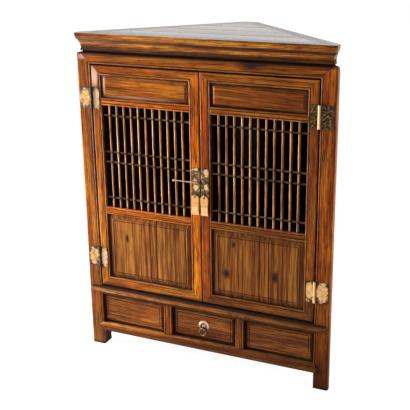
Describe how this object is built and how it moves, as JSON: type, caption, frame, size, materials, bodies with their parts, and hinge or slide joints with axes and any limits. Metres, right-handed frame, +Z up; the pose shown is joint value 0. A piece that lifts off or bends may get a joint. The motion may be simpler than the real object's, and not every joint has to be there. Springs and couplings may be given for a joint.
{
  "type": "corner cupboard",
  "caption": "Three-cornered wooden cupboard with lattice doors on brass strap hinges, a small drawer between fixed panels and a moulded cornice.",
  "frame": {"origin": "on the floor under the middle of the whole cupboard's box", "axes": "+X to the viewer's right along the front, +Y from the front to the corner of the room, +Z up"},
  "size_m": [0.872, 0.444, 1.1],
  "materials": {
    "elm_frame": "rubbed gloss lacquer",
    "elm_panel": "rubbed gloss lacquer",
    "elm_lattice": "rubbed gloss lacquer",
    "elm_top": "polished lacquer",
    "elm_side": "satin lacquer",
    "plain_wood": "oiled, unpolished",
    "aged_brass": "aged, dark at the corners",
    "worn_brass": "worn bright",
    "white_brass": "worn pale"
  },
  "bodies": {
    "case": {"base_rail": "elm_frame", "cornice_front": "elm_frame", "cornice_sides": "elm_frame", "cupboard_floor": "plain_wood", "drawer_runners": "plain_wood", "frame_hinge_leaves": "aged_brass", "frame_nails": "aged_brass", "hinge_pins": "aged_brass", "left_base_panel": "elm_panel", "left_divider": "elm_frame", "left_post": "elm_frame", "left_side_panels": "elm_side", "left_side_rails": "elm_frame", "rear_post": "elm_frame", "right_base_panel": "elm_panel", "right_divider": "elm_frame", "right_post": "elm_frame", "right_side_panels": "elm_side", "right_side_rails": "elm_frame", "shelf": "plain_wood", "shelf_bearers": "plain_wood", "top_boards": "elm_top", "top_rail": "elm_frame", "waist_moulding": "elm_frame"},
    "left_door": {"left_door_hinge_stile": "elm_frame", "left_door_meeting_stile": "elm_frame", "left_door_top_rail": "elm_frame", "left_door_cross_rails": "elm_frame", "left_door_bottom_rail": "elm_frame", "left_door_upper_panel": "elm_panel", "left_door_lower_panel": "elm_panel", "left_door_lattice_uprights": "elm_lattice", "left_door_lattice_bars": "elm_lattice", "left_door_hinge_leaves": "aged_brass", "left_door_lock_plate": "aged_brass", "left_door_lock_eyes": "aged_brass", "left_door_nails": "aged_brass"},
    "right_door": {"right_door_hinge_stile": "elm_frame", "right_door_meeting_stile": "elm_frame", "right_door_top_rail": "elm_frame", "right_door_cross_rails": "elm_frame", "right_door_bottom_rail": "elm_frame", "right_door_upper_panel": "elm_panel", "right_door_lower_panel": "elm_panel", "right_door_lattice_uprights": "elm_lattice", "right_door_lattice_bars": "elm_lattice", "right_door_hinge_leaves": "aged_brass", "right_door_lock_plate": "aged_brass", "right_door_lock_eyes": "aged_brass", "right_door_nails": "aged_brass"},
    "drawer": {"drawer_front": "elm_frame", "drawer_sides": "plain_wood", "drawer_back": "plain_wood", "drawer_bottom": "plain_wood", "drawer_rosette": "white_brass", "drawer_ring_eye": "white_brass"},
    "left_pull": {"left_pull": "worn_brass"},
    "right_pull": {"right_pull": "worn_brass"},
    "lock_pin": {"lock_pin": "white_brass"},
    "drawer_ring": {"drawer_ring": "white_brass"}
  },
  "joints": [
    {"name": "left_door_hinge", "type": "hinge", "parent": "case", "child": "left_door", "pos_m": [-0.3845, -0.21225, 0.614], "axis": [0, 0, -1], "range_deg": [0, 130]},
    {"name": "right_door_hinge", "type": "hinge", "parent": "case", "child": "right_door", "pos_m": [0.3845, -0.21225, 0.614], "axis": [0, 0, 1], "range_deg": [0, 130]},
    {"name": "drawer_slide", "type": "slide", "parent": "case", "child": "drawer", "axis": [0, -1, 0], "range_m": [0, 0.2]},
    {"name": "drawer_ring_swing", "type": "hinge", "parent": "drawer", "child": "drawer_ring", "pos_m": [0, -0.20945, 0.137], "axis": [-1, 0, 0], "range_deg": [0, 90]},
    {"name": "left_pull_swing", "type": "hinge", "parent": "left_door", "child": "left_pull", "pos_m": [-0.016, -0.21575, 0.6065], "axis": [-1, 0, 0], "range_deg": [0, 90]},
    {"name": "right_pull_swing", "type": "hinge", "parent": "right_door", "child": "right_pull", "pos_m": [0.016, -0.21575, 0.6065], "axis": [-1, 0, 0], "range_deg": [0, 90]},
    {"name": "lock_pin_slide", "type": "slide", "parent": "left_door", "child": "lock_pin", "axis": [1, 0, 0], "range_m": [0, 0.041]}
  ]
}
